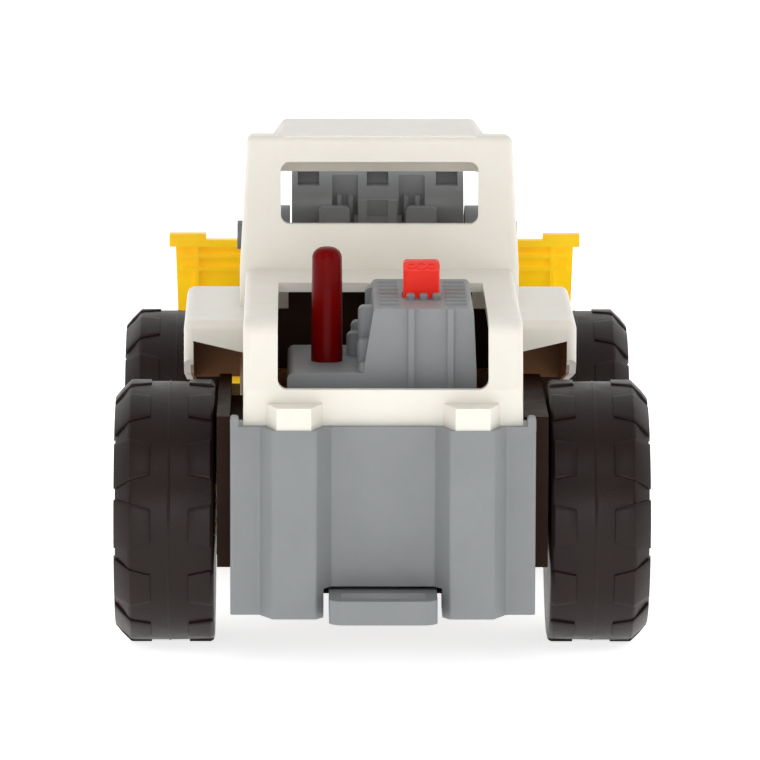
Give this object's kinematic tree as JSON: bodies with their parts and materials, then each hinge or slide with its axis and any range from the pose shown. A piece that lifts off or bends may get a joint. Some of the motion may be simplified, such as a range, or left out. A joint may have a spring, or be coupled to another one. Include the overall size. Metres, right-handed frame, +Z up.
{
  "type": "toy front loader",
  "caption": "Push-along toy wheel loader with rolling wheels, a lifting arm, a tilting bucket, a lit push button and a tow loop.",
  "frame": {"origin": "ground level under the middle of the overall length and width", "axes": "+X to the vehicle's right, +Y forward towards the bucket, +Z up"},
  "size_m": [0.1216, 0.242, 0.1104],
  "materials": {
    "black_plastic": "satin moulded",
    "ivory_plastic": "smooth moulded",
    "grey_plastic": "satin moulded",
    "red_clear_plastic": "clear tinted, polished",
    "orange_clear_plastic": "clear tinted, polished",
    "lamp_lens": "polished",
    "steel": "drawn wire",
    "circuit_board": "coated laminate",
    "switch_plastic": "moulded",
    "speaker_metal": "pressed",
    "cell_metal": "plated",
    "contact_metal": "plated strip",
    "screw_steel": "zinc plated",
    "pin_plastic": "moulded",
    "yellow_plastic": "smooth moulded",
    "axle_steel": "drawn rod",
    "tyre": "satin",
    "rim_plastic": "smooth moulded"
  },
  "bodies": {
    "loader_body": {"chassis": "black_plastic", "deck": "black_plastic", "battery_cover": "black_plastic", "body_shell": "ivory_plastic", "rear_bumper": "grey_plastic", "tow_loop": "grey_plastic", "engine_block": "grey_plastic", "arm_tower": "grey_plastic", "exhaust_stack": "red_clear_plastic", "stack_lamp": "lamp_lens", "button_spring": "steel", "switch_board": "circuit_board", "push_switch": "switch_plastic", "speaker": "speaker_metal", "battery_cells": "cell_metal", "battery_contacts": "contact_metal", "cover_screw": "screw_steel", "chassis_screws": "screw_steel", "bumper_screws": "screw_steel", "loop_screw": "screw_steel", "tower_screws": "screw_steel", "arm_pivot_pin": "pin_plastic"},
    "rear_wheels": {"rear_axle": "axle_steel", "tyre_rear_left": "tyre", "tyre_rear_right": "tyre", "rim_rear_left": "rim_plastic", "rim_rear_right": "rim_plastic"},
    "front_wheels": {"front_axle": "axle_steel", "tyre_front_left": "tyre", "tyre_front_right": "tyre", "rim_front_left": "rim_plastic", "rim_front_right": "rim_plastic"},
    "lift_arm_body": {"lift_arm": "grey_plastic"},
    "bucket_body": {"bucket": "yellow_plastic", "bucket_pin_left": "pin_plastic", "bucket_pin_right": "pin_plastic"},
    "button_body": {"light_button": "orange_clear_plastic"}
  },
  "joints": [
    {"name": "rear_wheels_roll", "type": "hinge", "parent": "loader_body", "child": "rear_wheels", "pos_m": [0, -0.069, 0.03], "axis": [1, 0, 0], "continuous": true},
    {"name": "front_wheels_roll", "type": "hinge", "parent": "loader_body", "child": "front_wheels", "pos_m": [0, 0.039, 0.03], "axis": [1, 0, 0], "continuous": true},
    {"name": "arm_lift", "type": "hinge", "parent": "loader_body", "child": "lift_arm_body", "pos_m": [0, 0.028, 0.08], "axis": [1, 0, 0], "range_deg": [-10, 50]},
    {"name": "bucket_tilt", "type": "hinge", "parent": "lift_arm_body", "child": "bucket_body", "pos_m": [0, 0.085, 0.038], "axis": [-1, 0, 0], "range_deg": [-15, 55]},
    {"name": "button_press", "type": "slide", "parent": "loader_body", "child": "button_body", "axis": [0, 0, -1], "range_m": [0, 0.0015], "stiffness_N_per_m": 200, "springref_m": -0.002, "deforming": ["button_spring"]}
  ]
}
